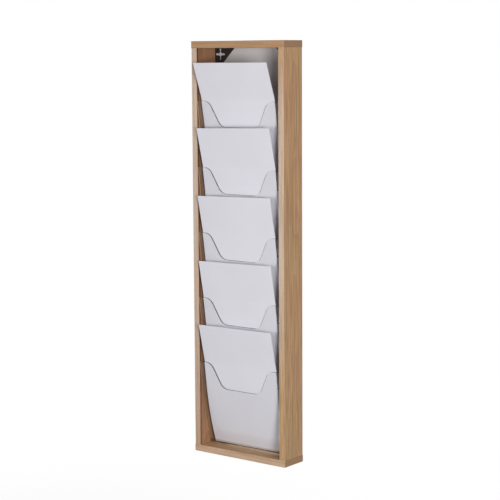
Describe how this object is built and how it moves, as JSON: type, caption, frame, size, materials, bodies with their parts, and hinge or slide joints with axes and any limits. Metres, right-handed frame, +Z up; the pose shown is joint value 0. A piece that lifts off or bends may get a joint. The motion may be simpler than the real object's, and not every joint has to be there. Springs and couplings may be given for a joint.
{
  "type": "wall magazine rack",
  "caption": "Slim wooden wall rack with an open back, clear pockets with wave-cut fronts one above the other, and a stack of blank A4 paper in each pocket",
  "frame": {"origin": "midway between the two upper keyholes, in the plane of the wall", "axes": "+Z up, +Y into the wall, +X to the right as seen from the front"},
  "size_m": [0.267, 0.0971, 0.972],
  "materials": {
    "beech": "sanded and clear lacquered",
    "dowel_beech": "plain",
    "black_steel": "matt black powder coat",
    "zinc_steel": "bright zinc",
    "clear_acrylic": "clear and polished",
    "white_paper": "uncoated white"
  },
  "bodies": {
    "rack": {"top_board": "beech", "bottom_board": "beech", "left_side": "beech", "right_side": "beech", "frame_dowels": "dowel_beech", "corner_plate_top_left": "black_steel", "corner_plate_top_right": "black_steel", "corner_plate_bottom_left": "black_steel", "corner_plate_bottom_right": "black_steel", "plate_screws": "zinc_steel", "pocket_1": "clear_acrylic", "pocket_2": "clear_acrylic", "pocket_3": "clear_acrylic", "pocket_4": "clear_acrylic", "pocket_5": "clear_acrylic"},
    "stack_1": {"sheets_1": "white_paper"},
    "stack_2": {"sheets_2": "white_paper"},
    "stack_3": {"sheets_3": "white_paper"},
    "stack_4": {"sheets_4": "white_paper"},
    "stack_5": {"sheets_5": "white_paper"}
  },
  "joints": [
    {"name": "stack_1_lift", "type": "slide", "parent": "rack", "child": "stack_1", "axis": [0, -0.1219, 0.9925], "range_m": [0, 0.2]},
    {"name": "stack_2_lift", "type": "slide", "parent": "rack", "child": "stack_2", "axis": [0, -0.1219, 0.9925], "range_m": [0, 0.2]},
    {"name": "stack_3_lift", "type": "slide", "parent": "rack", "child": "stack_3", "axis": [0, -0.1219, 0.9925], "range_m": [0, 0.2]},
    {"name": "stack_4_lift", "type": "slide", "parent": "rack", "child": "stack_4", "axis": [0, -0.1219, 0.9925], "range_m": [0, 0.2]},
    {"name": "stack_5_lift", "type": "slide", "parent": "rack", "child": "stack_5", "axis": [0, -0.1219, 0.9925], "range_m": [0, 0.2]}
  ]
}
